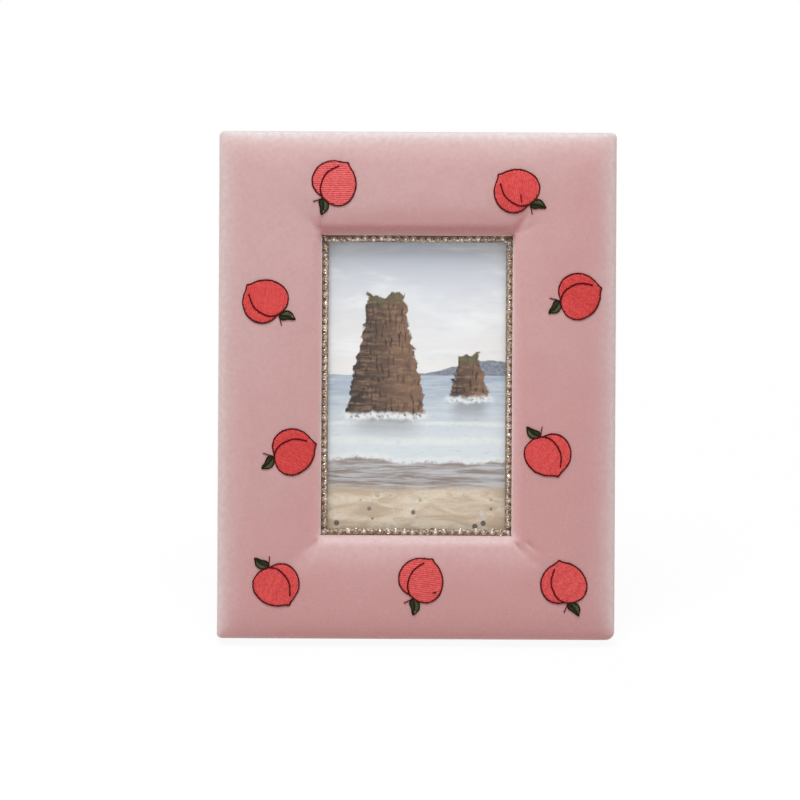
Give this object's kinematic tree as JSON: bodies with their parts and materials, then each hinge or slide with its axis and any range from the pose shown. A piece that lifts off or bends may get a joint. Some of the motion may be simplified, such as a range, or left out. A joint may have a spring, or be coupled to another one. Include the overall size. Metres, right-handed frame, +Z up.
{
  "type": "picture frame",
  "caption": "Portrait picture frame with a padded velvet border, embroidered peaches, a stone cup chain round the window, and an easel back with turn buttons.",
  "frame": {"origin": "on the table, under the middle of the whole object's box, as it stands on its easel leg", "axes": "+Z up, +X to the viewer's right, and the picture faces -Y, leaning back 14 degrees"},
  "size_m": [0.192, 0.0924, 0.241],
  "materials": {
    "velvet": "short-pile velvet with a pale sheen",
    "foam": "open-cell foam",
    "core_board": "raw fibreboard",
    "flocked_card": "flocked",
    "flocked_board": "flocked",
    "glass": "clear",
    "print": "satin print",
    "card": "matte",
    "chain": "pale gold plate with clear stones",
    "fruit_thread": "embroidery thread",
    "leaf_thread": "embroidery thread",
    "nickel": "nickel plate",
    "ribbon": "satin ribbon"
  },
  "bodies": {
    "frame": {"velvet_cover": "velvet", "foam_pad": "foam", "frame_core": "core_board", "rear_lining": "flocked_card", "glass_pane": "glass", "photo_print": "print", "filler_card": "card", "back_panel": "flocked_board", "chain_top": "chain", "chain_bottom": "chain", "chain_left": "chain", "chain_right": "chain", "peach_1": "fruit_thread", "peach_2": "fruit_thread", "peach_3": "fruit_thread", "peach_4": "fruit_thread", "peach_5": "fruit_thread", "peach_6": "fruit_thread", "peach_7": "fruit_thread", "peach_8": "fruit_thread", "peach_9": "fruit_thread", "peach_leaf_1": "leaf_thread", "peach_leaf_2": "leaf_thread", "peach_leaf_3": "leaf_thread", "peach_leaf_4": "leaf_thread", "peach_leaf_5": "leaf_thread", "peach_leaf_6": "leaf_thread", "peach_leaf_7": "leaf_thread", "peach_leaf_8": "leaf_thread", "peach_leaf_9": "leaf_thread", "screw_left_upper": "nickel", "screw_left_lower": "nickel", "screw_right_upper": "nickel", "screw_right_lower": "nickel", "hinge_panel_leaf": "nickel", "hinge_pin": "nickel", "panel_rivet_left": "nickel", "panel_rivet_right": "nickel", "panel_staple": "nickel", "ribbon_stay": "ribbon"},
    "easel": {"easel_leg": "flocked_board", "hinge_leg_leaf": "nickel", "leg_rivet_left": "nickel", "leg_rivet_right": "nickel", "leg_staple": "nickel"},
    "button_left_upper": {"button_left_upper": "nickel"},
    "button_left_lower": {"button_left_lower": "nickel"},
    "button_right_upper": {"button_right_upper": "nickel"},
    "button_right_lower": {"button_right_lower": "nickel"}
  },
  "joints": [
    {"name": "easel_hinge", "type": "hinge", "parent": "frame", "child": "easel", "pos_m": [0, 0.01368, 0.15433], "axis": [1, 0, 0], "range_deg": [-25, 0], "deforming": ["ribbon_stay"]},
    {"name": "button_left_upper_turn", "type": "hinge", "parent": "frame", "child": "button_left_upper", "pos_m": [-0.0608, 0.01205, 0.1635], "axis": [0, 0.9703, -0.2419], "continuous": true},
    {"name": "button_left_lower_turn", "type": "hinge", "parent": "frame", "child": "button_left_lower", "pos_m": [-0.0608, -0.0102, 0.07423], "axis": [0, 0.9703, -0.2419], "continuous": true},
    {"name": "button_right_upper_turn", "type": "hinge", "parent": "frame", "child": "button_right_upper", "pos_m": [0.0608, 0.01205, 0.1635], "axis": [0, 0.9703, -0.2419], "continuous": true},
    {"name": "button_right_lower_turn", "type": "hinge", "parent": "frame", "child": "button_right_lower", "pos_m": [0.0608, -0.0102, 0.07423], "axis": [0, 0.9703, -0.2419], "continuous": true}
  ]
}
